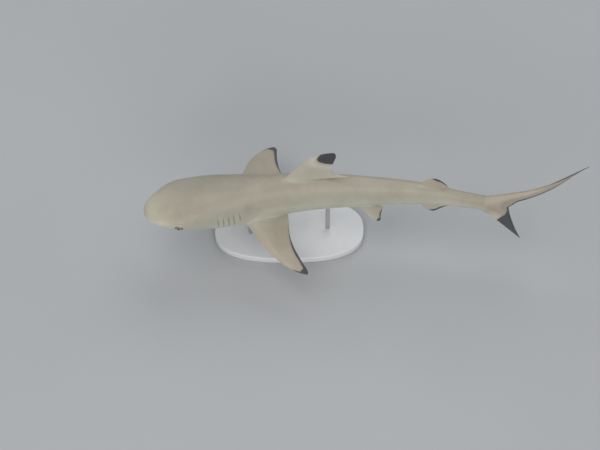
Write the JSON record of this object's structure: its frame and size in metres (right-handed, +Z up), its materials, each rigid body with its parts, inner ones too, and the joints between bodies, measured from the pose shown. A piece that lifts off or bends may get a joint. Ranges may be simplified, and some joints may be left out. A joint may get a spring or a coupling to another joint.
{
  "type": "young blacktip reef shark on a display stand",
  "caption": "Young blacktip reef shark swimming in a gentle S-bend, pectoral fins spread and fins tipped black, held above a flat oval base on slim rods.",
  "frame": {"origin": "middle of the stand base's underside", "axes": "+X towards the tail, head towards -X; +Y towards the shark's right side; +Z up, away from the surface the base stands on"},
  "size_m": [0.571, 0.2109, 0.1799],
  "materials": {
    "shark_skin": "satin, with a very fine grain of skin teeth, olive tan above and near white below",
    "shark_fin_skin": "satin, tan with black tips and rear margins",
    "eye": "wet gloss, golden olive iris and an upright slit pupil",
    "stand_plate": "satin pale grey paint",
    "stand_rod": "fine brushed"
  },
  "bodies": {
    "root": {"head": "shark_skin", "trunk": "shark_skin", "tail": "shark_skin", "caudal_fin": "shark_fin_skin", "pectoral_fin_left": "shark_fin_skin", "pectoral_fin_right": "shark_fin_skin", "pelvic_fin_left": "shark_fin_skin", "pelvic_fin_right": "shark_fin_skin", "first_dorsal_fin": "shark_fin_skin", "second_dorsal_fin": "shark_fin_skin", "anal_fin": "shark_fin_skin", "eye_left": "eye", "eye_right": "eye", "stand_base": "stand_plate", "stand_rod_front": "stand_rod", "stand_rod_rear": "stand_rod"}
  },
  "joints": []
}
